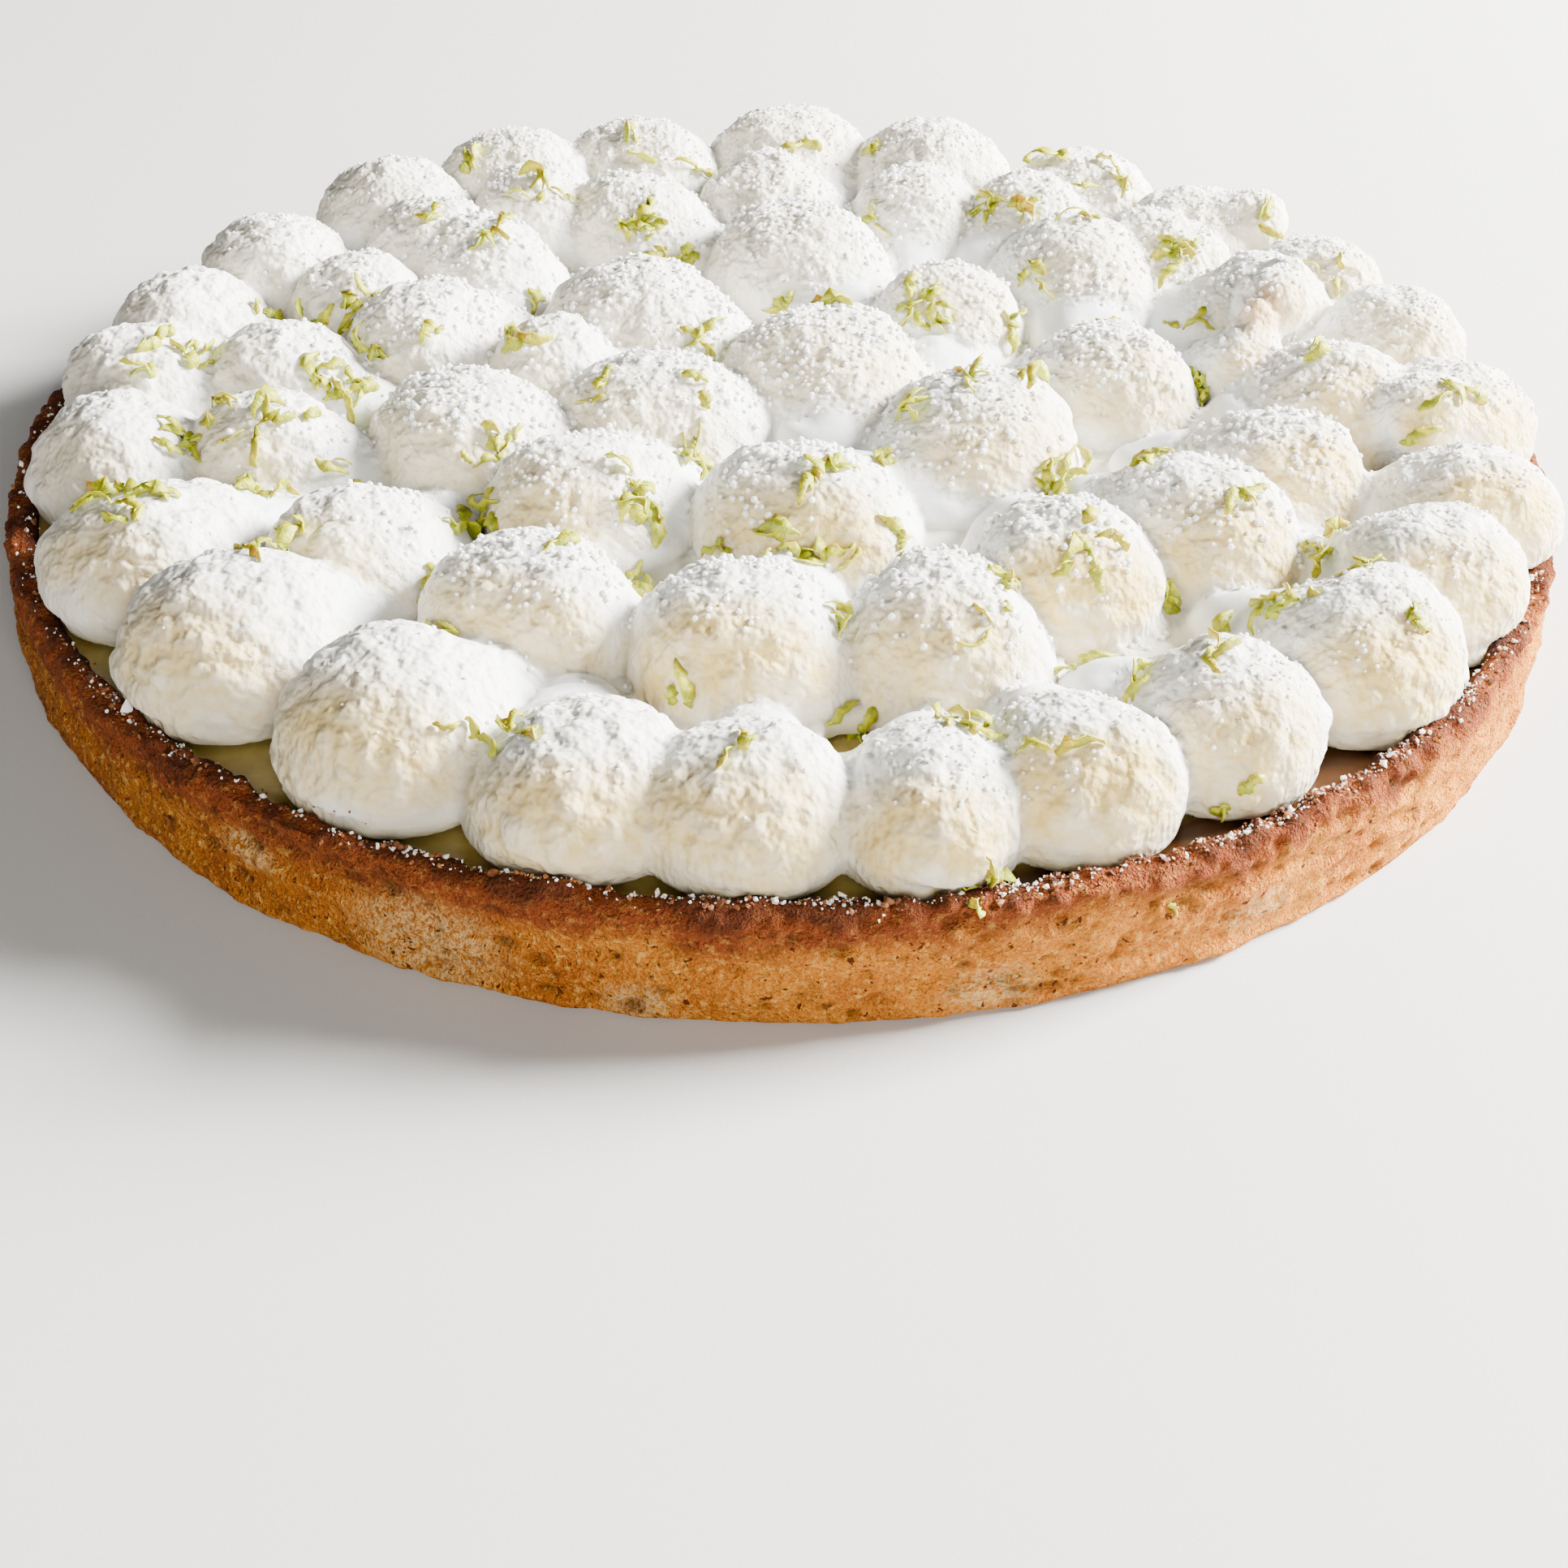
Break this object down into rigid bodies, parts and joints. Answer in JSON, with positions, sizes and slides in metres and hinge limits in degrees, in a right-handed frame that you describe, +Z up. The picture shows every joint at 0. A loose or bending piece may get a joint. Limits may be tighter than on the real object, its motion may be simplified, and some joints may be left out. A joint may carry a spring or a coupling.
{
  "type": "lemon meringue pie",
  "caption": "Round straight-sided pastry shell filled with lemon curd and covered with piped meringue dollops and shreds of lime zest.",
  "frame": {"origin": "middle of the pie's flat underside", "axes": "+Z up through the middle of the pie, the front of the pie towards -Y"},
  "size_m": [0.2381, 0.2386, 0.0355],
  "materials": {
    "crust": "matte, baked golden brown and crumbly, darker at the rim; stands for shortcrust pastry",
    "lemon_curd": "smooth and moist; stands for lemon curd",
    "meringue": "satin white with cream toasted tops and yellow-green zest; stands for piped meringue"
  },
  "bodies": {
    "root": {"crust": "crust", "lemon_curd": "lemon_curd", "meringue": "meringue"}
  },
  "joints": []
}
